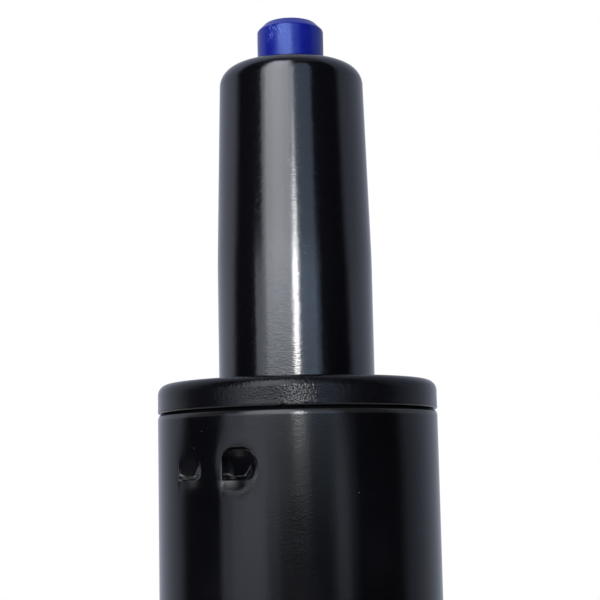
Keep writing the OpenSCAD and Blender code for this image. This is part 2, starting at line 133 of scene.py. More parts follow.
# adds one node, sets its settings and sockets, links what is given as a node or a socket; a socket goes
# by its name, with _ for a space, or by i and its number, a list goes on to the sockets after it,
# a text is a hex colour, and a node gives the first of its outputs in use
def addNode(tree, kind, settings=None, **inputs):
    node = tree.nodes.new(kind)
    for key, value in (settings or {}).items():
        setattr(node, key, value)
    for key, value in inputs.items():
        byNumber = key[0] == "i" and key[1:].isdigit()
        first = int(key[1:]) if byNumber else node.inputs.keys().index(key.replace("_", " "))
        for step, part in enumerate(value if isinstance(value, list) else [value]):
            socket = node.inputs[first + step]
            if isinstance(part, bpy.types.Node):
                part = next(output for output in part.outputs if output.enabled)
            if isinstance(part, bpy.types.NodeSocket):
                tree.links.new(part, socket)
            else:
                socket.default_value = linearColour(part) if isinstance(part, str) else part
    return node


# settings that several nodes share
twoColours = {"data_type": "RGBA"}
multiply = {"operation": "MULTIPLY"}
greater = {"operation": "MAXIMUM"}
smoothStep = {"interpolation_type": "SMOOTHSTEP"}
noiseMiddle = (0.32, 0.68)       # most of a noise lies between these


def newMaterial(name):
    material = bpy.data.materials.new(name)
    material.use_nodes = True
    tree = material.node_tree
    tree.nodes.clear()
    return material, tree


# closes a material: one principled shader to the output
def closeMaterial(tree, **inputs):
    shader = addNode(tree, "ShaderNodeBsdfPrincipled", **inputs)
    addNode(tree, "ShaderNodeOutputMaterial", Surface=shader)


# noise on object coordinates with a grain of the given size in mm,
# drawn out along an axis where stretch is below 1
def grain(tree, sizeMm, stretch=(1, 1, 1), detail=2.0, turn=(0, 0, 0)):
    coords = addNode(tree, "ShaderNodeTexCoord")
    scaled = addNode(tree, "ShaderNodeMapping", {"vector_type": "TEXTURE"},
                     Vector=coords.outputs["Object"], Rotation=tuple(math.radians(t) for t in turn),
                     Scale=tuple(mm / s for s in stretch))
    return addNode(tree, "ShaderNodeTexNoise", Vector=scaled, Scale=1 / sizeMm, Detail=detail)


# close-set round dimples of the given width in mm: the square of the distance
# to the nearest of scattered points
def dimples(tree, sizeMm):
    coords = addNode(tree, "ShaderNodeTexCoord")
    away = addNode(tree, "ShaderNodeTexVoronoi", Vector=coords.outputs["Object"], Scale=1 / (sizeMm * mm))
    return addNode(tree, "ShaderNodeMath", multiply, i0=[away, away])


# Finishes


# satin black powder coat on steel: soft grey reflections that a fine pebbled skin breaks up, specks
# of dust, bare bright steel where the punch has cut the wall, and the same bare steel painted on as
# highlights on the crimps' lips and the top rim; a real pebble is finer than pebbleMm, which is as coarse as
# it needs to show
def satinPowderCoat():
    finish = {"paint": "#070709", "paintThin": "#0b0b0e", "smearMm": 13.0, "bareSteelAndShine": "#c4c2bd",
              "rough": (0.11, 0.16), "gloss": 0.4, "skinMm": 3.0, "skinDepth": 0.003,
              "pebbleMm": 0.28, "pebbleDepth": 0.0052,
              "dust": "#77757a", "dustMm": 4.2, "dustR": 0.12, "dustCover": 0.5}
    material, tree = newMaterial("satinPowderCoat")
    smear = grain(tree, finish["smearMm"], detail=4.0)
    thinned = addNode(tree, "ShaderNodeMapRange", Value=smear, i1=[*noiseMiddle, 0, 1])
    paint = addNode(tree, "ShaderNodeMix", twoColours, i0=thinned, i6=[finish["paint"], finish["paintThin"]])
    rough = addNode(tree, "ShaderNodeMapRange", Value=smear, i1=[*noiseMiddle, *finish["rough"]])
    # specks of dust, round and fading at their edge
    coords = addNode(tree, "ShaderNodeTexCoord")
    apart = addNode(tree, "ShaderNodeTexVoronoi", Vector=coords.outputs["Object"],
                    Scale=1 / (finish["dustMm"] * mm))
    size = finish["dustR"] / finish["dustMm"]
    specks = addNode(tree, "ShaderNodeMapRange", Value=apart, i1=[size / 2, size, finish["dustCover"], 0])
    dusty = addNode(tree, "ShaderNodeMix", twoColours, i0=specks, i6=[paint, finish["dust"]])
    # bare steel where the piece's wear layer says so: real wear at the crimps' cut edges, painted highlights
    # on the crimps' lips and the column's top rim
    wear = addNode(tree, "ShaderNodeAttribute", {"attribute_name": "wear"}).outputs["Fac"]
    colour = addNode(tree, "ShaderNodeMix", twoColours, i0=wear, i6=[dusty, finish["bareSteelAndShine"]])
    waves = grain(tree, finish["skinMm"], detail=1.0)
    skin = addNode(tree, "ShaderNodeBump", Height=waves, Distance=finish["skinDepth"] * mm)
    pebbles = addNode(tree, "ShaderNodeBump", Height=dimples(tree, finish["pebbleMm"]),
                      Distance=finish["pebbleDepth"] * mm, Normal=skin)
    closeMaterial(tree, Base_Color=colour, Metallic=wear, Roughness=rough,
                  Specular_IOR_Level=finish["gloss"], Normal=pebbles)
    return material


# gloss black lacquer on ground steel tube: mirror-like, with grinding rings that fray the edges
# of a reflection and small pits where the lacquer has sunk; the rings are drawn coarser than
# a grindstone's, so that they show
def glossLacquer():
    finish = {"paint": "#07070a", "paintThin": "#0b0b0f", "rough": (0.1, 0.17), "gloss": 0.85,
              "ringMm": 0.2, "ringStretch": 0.3, "ringDepth": 0.013,
              "pitMm": 0.4, "pitSpan": (0.7, 0.82), "pitDepth": 0.012, "peelMm": 2.2, "peelDepth": 0.012}
    material, tree = newMaterial("glossLacquer")
    rings = grain(tree, finish["ringMm"], (finish["ringStretch"], finish["ringStretch"], 1))
    paint = addNode(tree, "ShaderNodeMix", twoColours, i0=rings, i6=[finish["paint"], finish["paintThin"]])
    rough = addNode(tree, "ShaderNodeMapRange", Value=rings, i1=[*noiseMiddle, *finish["rough"]])
    blots = grain(tree, finish["pitMm"], detail=1.0)
    pits = addNode(tree, "ShaderNodeMapRange", Value=blots, i1=[*finish["pitSpan"], 1, 0])
    waves = grain(tree, finish["peelMm"], detail=1.0)
    peel = addNode(tree, "ShaderNodeBump", Height=waves, Distance=finish["peelDepth"] * mm)
    lay = addNode(tree, "ShaderNodeBump", Height=rings, Distance=finish["ringDepth"] * mm, Normal=peel)
    pitted = addNode(tree, "ShaderNodeBump", Height=pits, Distance=finish["pitDepth"] * mm, Normal=lay)
    closeMaterial(tree, Base_Color=paint, Roughness=rough, Specular_IOR_Level=finish["gloss"],
                  Normal=pitted)
    return material


# black moulded nylon with a spark-eroded grain: dull, with a sparkle of pits where light strikes;
# real pits are finer than grainMm, which is as coarse as they need to show
def grainedNylon():
    finish = {"dye": "#09090b", "dyePale": "#0f0f12", "flowMm": 9.0, "rough": (0.13, 0.16), "gloss": 0.265,
              "grainMm": 0.31, "grainDepth": 0.028}
    material, tree = newMaterial("grainedNylon")
    flow = grain(tree, finish["flowMm"])
    dye = addNode(tree, "ShaderNodeMix", twoColours, i0=flow, i6=[finish["dye"], finish["dyePale"]])
    rough = addNode(tree, "ShaderNodeMapRange", Value=flow, i1=[*noiseMiddle, *finish["rough"]])
    sparks = addNode(tree, "ShaderNodeBump", Height=dimples(tree, finish["grainMm"]),
                     Distance=finish["grainDepth"] * mm)
    closeMaterial(tree, Base_Color=dye, Roughness=rough, Specular_IOR_Level=finish["gloss"],
                  Normal=sparks)
    return material


# blue moulded acetal, handled: a soft gloss, paler where the lever has rubbed it in slanting strokes
def blueAcetal():
    finish = {"dye": "#11187d", "dyePale": "#151f87", "flowMm": 4.0, "rough": (0.2, 0.34),
              "gloss": 0.9, "sheen": "#a6c6ff", "paleMark": "#5b6fc4", "rubShare": 0.6,
              "scuffAt": (-2.7, -5.5, 299.3), "scuffReach": (1.0, 2.5),
              "strokeMm": 0.28, "strokeStretch": (1, 1, 0.12), "strokeTurn": (0, -34, 0),
              "strokeSpan": (0.5, 0.62), "strokeDepth": 0.02}
    material, tree = newMaterial("blueAcetal")
    flow = grain(tree, finish["flowMm"], detail=3.0)
    dye = addNode(tree, "ShaderNodeMix", twoColours, i0=flow, i6=[finish["dye"], finish["dyePale"]])
    rough = addNode(tree, "ShaderNodeMapRange", Value=flow, i1=[*noiseMiddle, *finish["rough"]])
    # strokes round the place that the lever rubs
    coords = addNode(tree, "ShaderNodeTexCoord")
    away = addNode(tree, "ShaderNodeVectorMath", {"operation": "DISTANCE"},
                   i0=[coords.outputs["Object"], tuple(v * mm for v in finish["scuffAt"])])
    reach = [v * mm for v in finish["scuffReach"]]
    near = addNode(tree, "ShaderNodeMapRange", Value=away, i1=[*reach, 1, 0])
    lines = grain(tree, finish["strokeMm"], finish["strokeStretch"], turn=finish["strokeTurn"])
    strokes = addNode(tree, "ShaderNodeMapRange", Value=lines, i1=[*finish["strokeSpan"], 0, 1])
    scuff = addNode(tree, "ShaderNodeMath", multiply, i0=[near, strokes])
    share = addNode(tree, "ShaderNodeMath", multiply, i0=[scuff, finish["rubShare"]])
    colour = addNode(tree, "ShaderNodeMix", twoColours, i0=share, i6=[dye, finish["paleMark"]])
    scored = addNode(tree, "ShaderNodeBump", Height=scuff, Distance=finish["strokeDepth"] * mm)
    closeMaterial(tree, Base_Color=colour, Roughness=rough, Specular_IOR_Level=finish["gloss"],
                  Specular_Tint=finish["sheen"], Normal=scored)
    return material


# plain metals and polymers of the works: two near tones, mottled by the marks of how the piece was made
def workedFinish(name, tone, toneTwo, markMm, stretch, metallic, rough, depth=0.004):
    material, tree = newMaterial(name)
    marks = grain(tree, markMm, stretch, 3.0)
    share = addNode(tree, "ShaderNodeMapRange", Value=marks, i1=[*noiseMiddle, 0, 1])
    colour = addNode(tree, "ShaderNodeMix", twoColours, i0=share, i6=[tone, toneTwo])
    roughness = addNode(tree, "ShaderNodeMapRange", Value=marks, i1=[*noiseMiddle, *rough])
    worked = addNode(tree, "ShaderNodeBump", Height=marks, Distance=depth * mm)
    closeMaterial(tree, Base_Color=colour, Metallic=metallic, Roughness=roughness, Normal=worked)
    return material


turned = (0.1, 0.1, 1)       # marks run round the axis
drawn = (1, 1, 0.05)         # marks run along the axis
even = (1, 1, 1)
satinCoat = satinPowderCoat()
lacquer = glossLacquer()
nylon = grainedNylon()
acetal = blueAcetal()
# dull silver, spangled
zincPlate = workedFinish("zincPlate", "#a2a6ac", "#c3c6ca", 1.2, even, 1.0, (0.28, 0.45))
# bright, fine rings
groundSteel = workedFinish("groundSteel", "#bfc0c2", "#d4d5d6", 0.3, turned, 1.0, (0.12, 0.22))
# near black, oily
blackOxide = workedFinish("blackOxide", "#28282b", "#3a3a3d", 0.8, even, 1.0, (0.3, 0.46))
# grey with lines along the draw
drawnSteel = workedFinish("drawnSteel", "#a0a1a3", "#b8b9ba", 0.3, drawn, 1.0, (0.22, 0.34))
# bluish mirror
hardChrome = workedFinish("hardChrome", "#d0d2d6", "#dadcdf", 0.2, turned, 1.0, (0.05, 0.1), 0.001)
# yellow and pale grey, both with the rings of the lathe
turnedBrass = workedFinish("turnedBrass", "#b18c45", "#c8a65c", 0.25, turned, 1.0, (0.2, 0.3))
turnedAluminium = workedFinish("turnedAluminium", "#c4c6c8", "#d6d7d9", 0.25, turned, 1.0, (0.22, 0.34))
# waxy cream
naturalAcetal = workedFinish("naturalAcetal", "#d3cdb9", "#e3dfd1", 2.5, even, 0.0, (0.35, 0.5))
# matt black
nitrileRubber = workedFinish("nitrileRubber", "#121214", "#1d1d20", 0.6, even, 0.0, (0.55, 0.75), 0.02)
print("finishes", len(bpy.data.materials))

# Column tube

# rimShine is the share of bare-steel colour painted on the top rim as a highlight
column = {"radius": 25.0, "wall": 2.0, "length": 230.0, "taperLength": 60.0, "taperAngle": 1.438,
          "topEdge": 0.45, "rollRadius": 5.0, "rollAngle": 7.0, "footEdge": 0.8, "rimShine": 0.035}
# where a value has four numbers, each crimp has its own; cut, lip, crown and curl values are places
# across a crimp, in mm from its middle, with a rise or a curve beside them. Bare steel: chips along the
# cut edge (place, width, share) and the line there (width, and place, width and gain at its end); the same
# finish in a line down the steep side (gap, width, share; its ends) and as a painted highlight on the lip
# (place and share of each)
crimps = {"angles": (222.75, 246.25, 42.75, 66.25), "drop": 11.5, "width": 6.0, "belt": 2.0,
          "height": (2.6, 3.6, 2.6, 3.6), "crownMid": 0.1, "crownHalf": 3.5,
          "depth": (0.46, 1.62, 0.46, 1.62), "lean": (1.1, 0.25, 1.1, 0.25),
          "runOut": (3.2, 4.4, 3.2, 4.4), "soft": (0.6, 2.0, 0.6, 2.0),
          "roof": (4.2, 0.4, 4.2, 0.4), "roofCurve": 1.6, "steepWall": 0.35,
          "lip": 0.2, "lipSoft": 0.8, "lipCorner": (1.5, 0.1), "slot": 0.22, "slotEdge": 0.12,
          "cutRise": 0.72, "cutLean": 0.06, "cutLeft": (-1.2, 0.34), "cutRight": (0.95, 1.15),
          "cutCurve": 1.2, "cutEnd": (1.4, 0.4),
          "halo": (0.15, 0.45, 0.15, 0.45), "haloMid": 2.6, "haloReach": 2.0,
          "curl": (0.05, 0.16, 0.05, 0.16), "curlReach": 1.3, "curlFrom": (-3.5, -2.5),
          "curlTo": (-0.2, 2.8), "thread": 0.12, "leftChip": (2.2, 0.45, 0.6),
          "rightChip": (1.1, 0.2, 0.5), "chipShift": 0.25, "line": 0.07, "lineEnd": (2.6, 0.35, 0.06),
          "sideLine": (0.09, 0.07, 0.1), "sideFrom": (-0.1, 0.3), "sideTo": (1.8, 3.4),
          "paleMark": ((0.9, 0.05), (-1.6, 0.18), (0.4, 0.08), (-1.0, 0.15)), "lipShineReach": (1.2, 0.9)}


# the cut edge in a crimp above its lower lip: nearly level, a little up on the left,
# steeply up on the right
def cutEdge(u):
    c = crimps
    left = c["cutLeft"][1] * np.maximum(c["cutLeft"][0] - u, 0)
    right = c["cutRight"][1] * np.maximum(u - c["cutRight"][0], 0) ** c["cutCurve"]
    return c["cutRise"] + c["cutLean"] * u + left + right


# the height above the lip at which a crimp begins: level on the left,
# rising in a round corner on the right
def lipEdge(u):
    start, curve = crimps["lipCorner"]
    return curve * np.maximum(u - start, 0) ** 2


# how far a crimp pushes the wall in at (u round the wall, v above its lower lip), in mm: a floor that
# leans, deepest at the steep left side and running out to the right, a round top, and a slot below
# the cut edge
def crimpDepth(u, v, number):
    c = crimps
    half = c["width"] / 2
    inward = np.maximum(c["runOut"][number] - u, 0)
    soft = c["soft"][number]
    slope = c["lean"][number] * np.where(inward > soft, inward - soft / 2, inward ** 2 / (2 * soft))
    floorDepth = np.minimum(slope, c["depth"][number])
    arch = np.sqrt(np.maximum(1 - np.abs((u - c["crownMid"]) / c["crownHalf"]) ** 3, 0))
    crown = c["belt"] + c["height"][number] * arch
    roof = np.clip((crown - v) / c["roof"][number], 0, 1) ** c["roofCurve"]
    cutEnds = 1 - ease(u, half - c["cutEnd"][0], half - c["cutEnd"][1])
    cut = ease(cutEdge(u) - v, 0, c["slotEdge"]) * cutEnds
    sides = ease(u + half, 0, c["steepWall"])
    foot = ease(v - lipEdge(u), 0, c["lip"] + np.maximum(u - c["lipSoft"], 0))
    return (floorDepth + c["slot"] * cut) * roof * sides * foot


# the outside of the wall round a crimp: a low bell round its middle, and a lower lip that rolls in
def crimpRoll(u, v, number):
    c = crimps
    bell = c["halo"][number] * np.exp(-(u ** 2 + (v - c["haloMid"]) ** 2) / (2 * c["haloReach"] ** 2))
    across = ease(u, *c["curlFrom"]) * (1 - ease(u, *c["curlTo"]))
    below = np.minimum(v - lipEdge(u), 0)
    curl = c["curl"][number] * np.exp(-(below / c["curlReach"]) ** 2)
    return bell + curl * across * (v < lipEdge(u) + 0.05)


# bare steel: broken lengths along the cut edge; the same finish in a thin line down the steep side
# and in a patch on the lip that is a painted highlight
def crimpWearAndShine(u, v, number):
    c = crimps
    half = c["width"] / 2
    inside = ease(u + half, 0.05, 0.2) * (1 - ease(u, half - 1.2, half - 0.6))
    shift = c["chipShift"] * np.sin(2.3 * number - 2.3)      # no two crimps are chipped alike
    leftAt, leftWide, leftShare = c["leftChip"]
    rightAt, rightWide, rightShare = c["rightChip"]
    left = leftShare * np.exp(-((u - shift + leftAt) / leftWide) ** 2)
    right = rightShare * np.exp(-((u - shift - rightAt) / rightWide) ** 2)
    chips = c["thread"] + left + right
    endAt, endWide, endGain = c["lineEnd"]
    width = c["line"] + endGain * np.exp(-((u + endAt) / endWide) ** 2)
    along = np.exp(-((v - cutEdge(u)) / width) ** 2) * inside * np.minimum(chips, 1)
    gap, sideWide, sideShare = c["sideLine"]
    downSide = ease(v, *c["sideFrom"]) * (1 - ease(v, *c["sideTo"]))
    side = np.exp(-((u + half + gap) / sideWide) ** 2) * downSide
    # the lip patch is a painted highlight: bare-steel colour where the rolled lip would catch the light
    shineAt, shineShare = c["paleMark"][number]
    shineWide, shineHigh = c["lipShineReach"]
    lipShine = np.exp(-((u - shineAt) / shineWide) ** 2 - (np.minimum(v + 0.2, 0) / shineHigh) ** 2) * (v < 0.06)
    return np.maximum(np.maximum(along, sideShare * side), shineShare * lipShine)


# the tube's closed section, foot to top outside and back down inside,
# with the crimps pressed into the wall
def columnTube():
    c = column
    slope = math.tan(math.radians(c["taperAngle"]))
    footR = c["radius"] - c["taperLength"] * slope
    bore = c["radius"] - c["wall"]
    lip = c["length"] - crimps["drop"]
    roll = math.radians(c["rollAngle"])
    rollR = c["radius"] - c["rollRadius"] * (1 - math.cos(roll))
    rollZ = c["length"] - c["topEdge"] * (1 - math.sin(roll)) - c["rollRadius"] * math.sin(roll)
    edgeAt = (rollR - c["topEdge"] * math.cos(roll), c["length"] - c["topEdge"])
    # close rows at the crimps, closest at their lower edge
    underLip, lowPart = np.linspace(-4, -0.4, 14), np.linspace(-0.32, 2.2, 36)
    highPart, overTop = np.linspace(2.33, 5.9, 28), np.linspace(6.1, 7, 4)
    levels = np.r_[underLip, lowPart, highPart, overTop] + lip
    outside = profile(
        straight((footR - 1.6, 0), (footR - c["footEdge"], 0), 3),
        bend((footR - c["footEdge"], c["footEdge"]), c["footEdge"], -90, 0, 6),
        straight((footR + 2 * slope, 2), (c["radius"], c["taperLength"]), 8),
        straight((c["radius"], c["taperLength"] + 1), (c["radius"], levels[0] - 0.5), 14),
        np.stack([np.full(len(levels), c["radius"]), levels], axis=1),
        straight((c["radius"], lip + 8), (c["radius"], rollZ - 0.1), 5),
        bend((c["radius"] - c["rollRadius"], rollZ), c["rollRadius"], 0.5, c["rollAngle"], 7),
        bend(edgeAt, c["topEdge"], c["rollAngle"], 90, 7))
    inside = profile(
        straight((bore + 0.3, c["length"]), (bore, c["length"] - 0.3), 2),
        straight((bore, lip + 6.5), (bore, lip - 2), 12),
        straight((bore, lip - 8), (bore, c["taperLength"]), 4),
        straight((bore, c["taperLength"] - 1), (footR - c["wall"] + 0.02, 0.4), 4),
        straight((footR - c["wall"] + 0.2, 0.05), (footR - c["wall"] + 0.3, 0), 2))
    section = np.concatenate([outside, inside])
    a = spreadAngles(240, crimps["angles"], 8.8, 0.25)
    r = section[:, :1] + 0 * a
    z = section[:, 1:] + 0 * a
    # a painted highlight: a faint band of bare-steel colour round the top rim, where its edge would catch
    # the strip lamp
    atRim = ease(z, c["length"] - 0.95, c["length"] - 0.7)
    bareAndShine = c["rimShine"] * atRim * (0.75 + 0.25 * np.sin(np.radians(7 * a)))
    nearTop = 1 - ease(z, c["length"] - 4, c["length"] - 1)
    onOutside = (np.arange(len(section)) < len(outside))[:, None]
    for number, angle in enumerate(crimps["angles"]):
        u = c["radius"] * np.radians(turnFrom(a, angle)) + 0 * z
        v = z - lip
        r = r - (crimpDepth(u, v, number) + crimpRoll(u, v, number) * onOutside) * nearTop
        bareAndShine = np.maximum(bareAndShine, crimpWearAndShine(u, v, number))
    t = np.radians(a)
    return gridPiece("columnTube", r * np.cos(t), r * np.sin(t), z, True, 26, bareAndShine * onOutside)


stand(columnTube(), "column", "outer_tube", satinCoat)

# Guide sleeve

sleeve = {"flangeZ": 230.5, "flangeHeight": 5.1, "edge": 1.9, "foot": 140.0, "ring": 10.0, "bore": 14.05,
          "barrel": 16.65, "rib": 22.45, "outer": 22.95, "ribs": 8, "ribHalf": 1.0,
          "land": 22.0, "relief": 0.5, "groove": (217.5, 224.7), "grooveR": 21.1, "collarFoot": 216.7,
          "seatR": 24.78, "flare": 0.018, "warp": (-0.14, 0.13), "warpTurn": 285,
          "nickAngle": 264.5, "nickRise": 0.22, "nickHalf": 0.9}


# how far the flange's lower rim stands off its true height round the axis: a slight warp, and one nick
def rimRise(a):
    low, swing = sleeve["warp"]
    nick = sleeve["nickRise"] * np.exp(-(turnFrom(a, sleeve["nickAngle"]) / sleeve["nickHalf"]) ** 2)
    return low + swing * np.cos(np.radians(turnFrom(a, sleeve["warpTurn"]))) + nick


# the sleeve's closed section turned round the axis; between its end rings
# the outside steps out to flat ribs
def guideSleeve():
    s = sleeve
    top = s["flangeZ"] + s["flangeHeight"]
    seat = column["length"]
    face = column["radius"] - s["flare"]
    flareZ = np.linspace(0.36, 1.2, 8)
    before = profile(
        straight((s["bore"] + 0.8, s["foot"]), (s["outer"] - 0.8, s["foot"]), 4),
        straight((s["outer"], s["foot"] + 0.8), (s["outer"], s["foot"] + s["ring"]), 3))
    ribbed = straight((s["barrel"], s["foot"] + s["ring"]), (s["barrel"], s["collarFoot"]), 12)
    after = profile(
        straight((s["outer"], s["collarFoot"]), (s["outer"], s["groove"][0]), 2),
        straight((s["grooveR"], s["groove"][0]), (s["grooveR"], s["groove"][1]), 3),
        straight((s["outer"], s["groove"][1]), (s["outer"], seat), 3),
        straight((s["seatR"], seat), (s["seatR"] - 0.6, s["flangeZ"]), 3),
        bend((column["radius"] - 0.3, s["flangeZ"] + 0.3), 0.3, -90, 0, 6),
        np.stack([face + s["flare"] * (1 - ease(flareZ, 0.42, 1.15)), s["flangeZ"] + flareZ], axis=1),
        straight((face, s["flangeZ"] + 1.4), (face, top - s["edge"] - 0.2), 5),
        bend((face - s["edge"], top - s["edge"]), s["edge"], 0, 90, 20),
        straight((face - s["edge"] - 0.5, top), (s["bore"] + 1.2, top), 6),
        bend((s["bore"] + 0.8, top - 0.8), 0.8, 90, 180, 8),
        straight((s["bore"], top - 1.2), (s["bore"], top - s["land"]), 3),
        straight((s["bore"] + s["relief"], top - s["land"] - s["relief"]),
                 (s["bore"] + s["relief"], s["foot"] + s["land"] + s["relief"]), 3),
        straight((s["bore"], s["foot"] + s["land"]), (s["bore"], s["foot"] + 0.8), 3))
    section = np.concatenate([before, ribbed, after])
    ribFoot = math.degrees(math.asin(s["ribHalf"] / s["barrel"]))
    ribTop = math.degrees(math.asin(s["ribHalf"] / s["rib"]))
    pitch = 360 / s["ribs"]
    oneRib = np.r_[-ribFoot, -ribTop, 0, ribTop, ribFoot]
    ribSides = (np.arange(s["ribs"])[:, None] * pitch + oneRib).reshape(-1)
    between = spreadAngles(216, (s["nickAngle"],), 3, 0.3)
    between = between[np.abs(turnFrom(between * s["ribs"], 0)) / s["ribs"] > ribFoot + 0.3]
    a = np.sort(np.mod(np.r_[ribSides, between], 360))
    onRib = np.abs(turnFrom(a * s["ribs"], 0)) / s["ribs"] < ribTop + 0.01
    r = section[:, :1] + 0 * a
    z = section[:, 1:] + 0 * a
    r[len(before):len(before) + len(ribbed)] += onRib * (s["rib"] - s["barrel"])
    rim = (r > s["seatR"] - 1) & (z > s["flangeZ"] - 0.01)
    z = z + rim * (1 - ease(z, s["flangeZ"] + 0.3, s["flangeZ"] + 2.6)) * rimRise(a)
    t = np.radians(a)
    return gridPiece("guideSleeve", r * np.cos(t), r * np.sin(t), z, True, 38)


stand(guideSleeve(), "column", "guide_sleeve", nylon)

# Pressure tube

tube = {"radius": 14.0, "wall": 2.0, "foot": 36.1, "lip": 9.0, "taperZ": 257.7, "taperLength": 32.5,
        "taperAngle": 1.438, "shoulder": 3.5, "crown": 6.0, "mouth": 6.25, "mouthEdge": 0.25}


# the tube's closed section: rolled lip, straight wall, taper, rolled shoulder and crown,
# and back down the bore
def pressureTube():
    t = tube
    slope = math.tan(math.radians(t["taperAngle"]))
    crown = math.radians(t["crown"])
    k = t["mouthEdge"]
    shoulderZ = t["taperZ"] + t["taperLength"]
    shoulderR = t["radius"] - t["taperLength"] * slope
    bore = t["radius"] - t["wall"]
    innerBend = t["shoulder"] - t["wall"]
    crownEnd = bend((shoulderR - t["shoulder"], shoulderZ), t["shoulder"], 0, 90 - t["crown"], 26)
    innerEnd = bend((bore - innerBend, shoulderZ), innerBend, 90 - t["crown"], 0, 9)
    mouthZ = crownEnd[-1, 1] + (crownEnd[-1, 0] - t["mouth"]) * math.tan(crown)
    innerZ = innerEnd[0, 1] + (innerEnd[0, 0] - t["mouth"]) * math.tan(crown)
    section = profile(
        straight((t["lip"], t["foot"]), (bore, t["foot"]), 3),
        bend((bore, t["foot"] + t["wall"]), t["wall"], -90, 0, 9),
        straight((t["radius"], t["foot"] + 6), (t["radius"], t["taperZ"] - 3), 24),
        straight((t["radius"], t["taperZ"] - 1.2), (t["radius"] - 1.2 * slope, t["taperZ"] + 1.2), 3),
        straight((t["radius"] - 3 * slope, t["taperZ"] + 3), (shoulderR + 1 * slope, shoulderZ - 1), 10),
        crownEnd,
        straight(crownEnd[-1], (t["mouth"] + k, mouthZ - k * math.tan(crown)), 6)[1:],
        bend((t["mouth"] + k, mouthZ - k), k, 90, 180, 5),
        straight((t["mouth"], mouthZ - 0.6), (t["mouth"], innerZ), 3),
        innerEnd,
        straight((bore, shoulderZ - 2), (bore, t["foot"] + t["wall"]), 6),
        straight((bore - 0.5, t["foot"] + t["wall"]), (t["lip"], t["foot"] + t["wall"]), 2))
    return turnedPiece("pressureTube", section, 256, True, 40)


stand(pressureTube(), "lift", "pressure_tube", lacquer)

# Release button

button = {"radius": 6.1, "top": 302.18, "length": 20.0, "chamfer": 1.5, "pinBore": 2.53, "pinTop": 292.21,
          "soften": 0.25}


# pole on the bore's roof, down the bore, round the foot, up the side, over the chamfer to the pole on top
def releaseButton():
    b = button
    foot = b["top"] - b["length"]
    k = b["soften"]
    soft = 2.41 * k      # radius that rounds a 45 degree corner over k
    flat = b["radius"] - b["chamfer"]
    section = profile(
        (0, b["pinTop"]),
        straight((b["pinBore"] - 0.2, b["pinTop"]), (b["pinBore"], b["pinTop"] - 0.2), 2),
        straight((b["pinBore"], foot + 1), (b["pinBore"], foot), 2),
        straight((b["radius"] - 0.4, foot), (b["radius"], foot + 0.4), 3),
        straight((b["radius"], foot + 1), (b["radius"], b["top"] - b["chamfer"] - k), 14),
        bend((b["radius"] - soft, b["top"] - b["chamfer"] - k), soft, 0, 45, 7),
        bend((flat - k, b["top"] - soft), soft, 45, 90, 7),
        straight((flat - k - 0.3, b["top"]), (0.6, b["top"]), 5),
        (0, b["top"]))
    return turnedPiece("releaseButton", section, 160, False, 40)


stand(releaseButton(), "release", "release_button", acetal)

# Base cup

cup = {"hole": 4.3, "recess": 9.0, "floor": 3.5, "skirt": 2.0, "bend": 2.0, "rim": 1.0, "clear": 0.03}


# the cup's outside at a height: the column's inner taper less a little clearance
def cupRadius(z):
    slope = math.tan(math.radians(column["taperAngle"]))
    return column["radius"] - column["wall"] - (column["taperLength"] - z) * slope - cup["clear"]


# a drawn cup: floor, bend and skirt as one closed section
def baseCup():
    c = cup
    top = c["recess"] + c["floor"]
    outerBend = c["bend"] + c["skirt"]
    x = cupRadius(top - outerBend) - outerBend
    rim = cupRadius(c["rim"])
    section = profile(
        straight((c["hole"], c["recess"]), (x - 0.5, c["recess"]), 6),
        bend((x, c["recess"] - c["bend"]), c["bend"], 90, 0, 9),
        straight((rim - c["skirt"], c["rim"] + 0.4), (rim - c["skirt"] + 0.4, c["rim"]), 3),
        straight((rim - 0.3, c["rim"]), (rim, c["rim"] + 0.3), 2),
        bend((x, top - outerBend), outerBend, 0, 90, 12),
        straight((x - 0.5, top), (c["hole"], top), 4))
    return turnedPiece("baseCup", section, 192, True, 38)


stand(baseCup(), "column", "base_cup", zincPlate)

# CAD pieces that stay as they are take their finish

finishes = {
    "bearing_lower_race": groundSteel, "bearing_upper_race": groundSteel, "bearing_balls": groundSteel,
    "ball_cage": naturalAcetal, "piston_rod": hardChrome, "piston": turnedAluminium,
    "piston_seal": nitrileRubber, "piston_guide_band": naturalAcetal, "rivet_washer": zincPlate,
    "rubber_buffer": nitrileRubber, "support_washer": zincPlate, "clip_washer": zincPlate,
    "retaining_clip": blackOxide, "inner_cylinder": drawnSteel, "valve_body": turnedBrass,
    "valve_body_seals": nitrileRubber, "pin_seals": nitrileRubber, "centring_ring": naturalAcetal,
    "seal_disc": zincPlate, "rod_seal": nitrileRubber, "rod_guide": naturalAcetal, "valve_pin": drawnSteel}
for nodeName, finish in finishes.items():
    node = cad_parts[nodeName]
    node.data.materials.clear()
    node.data.materials.append(finish)
print("finished CAD pieces", len(finishes))

# Camera

lens = {"distance": 257.5, "height": 219.57, "pitch": 6.892, "yaw": 0.185, "roll": -1.166,
        "focalPx": 1429.2, "framePx": 600, "sensor": 36.0}


